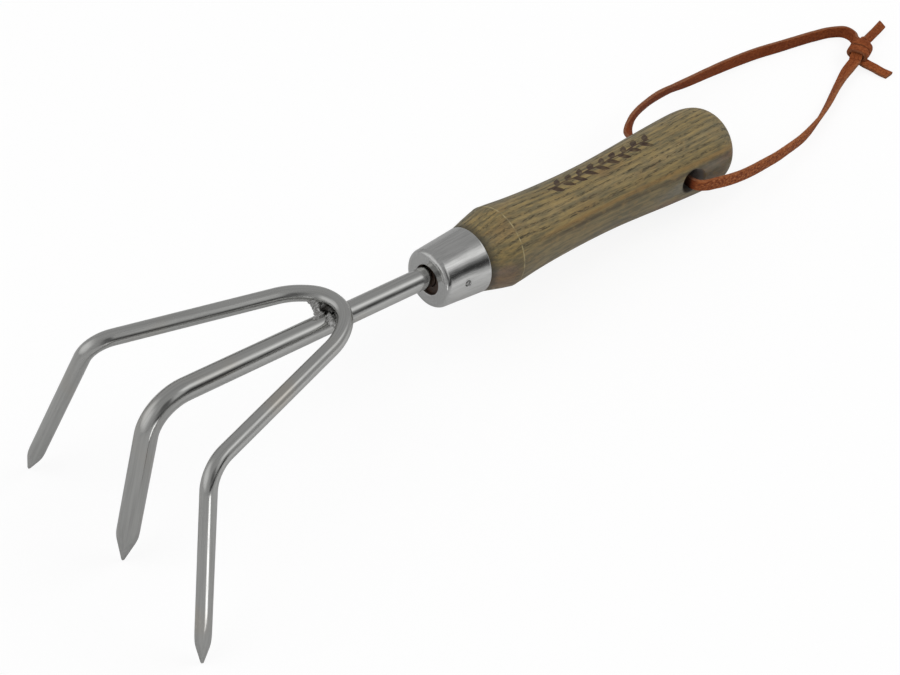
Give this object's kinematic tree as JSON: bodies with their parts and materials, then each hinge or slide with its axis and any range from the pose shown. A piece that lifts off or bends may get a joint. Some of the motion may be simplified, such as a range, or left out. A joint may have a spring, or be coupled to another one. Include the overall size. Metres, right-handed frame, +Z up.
{
  "type": "hand cultivator",
  "caption": "Garden hand claw: tines bent from round steel bar and welded over a shank, a steel ferrule, a turned wooden handle and a knotted leather hanging thong.",
  "frame": {"origin": "on the bench under the middle of the tool's length, the tool lying on its three tine points and the rim of its butt", "axes": "+X from the tines to the handle's butt, +Y to the left side tine, +Z up; the tines mirror about y = 0"},
  "size_m": [0.4113, 0.1054, 0.0702],
  "materials": {
    "tine_steel": "polished stainless round bar, satin where it was ground",
    "weld_steel": "rippled weld metal, darker than the bar",
    "ferrule_steel": "bright polished pressed stainless",
    "brad_steel": "plain nail steel",
    "stained_ash": "olive-brown stained ash with dark open grain, satin",
    "thong_leather": "red-brown tanned lace, matt, paler cut edges"
  },
  "bodies": {
    "cultivator": {"centre_tine": "tine_steel", "side_tines": "tine_steel", "weld_bead_left": "weld_steel", "weld_bead_right": "weld_steel", "ferrule": "ferrule_steel", "ferrule_brad": "brad_steel", "handle": "stained_ash"},
    "thong": {"thong_through": "thong_leather", "thong_near_strand": "thong_leather", "thong_far_strand": "thong_leather", "thong_knot": "thong_leather", "thong_upper_tail": "thong_leather", "thong_lower_tail": "thong_leather"}
  },
  "joints": [
    {"name": "thong_swing", "type": "hinge", "parent": "cultivator", "child": "thong", "pos_m": [0.1177, 0.00123, 0.01979], "axis": [0.0504, -0.9832, 0.1756], "range_deg": [0, 155]}
  ]
}
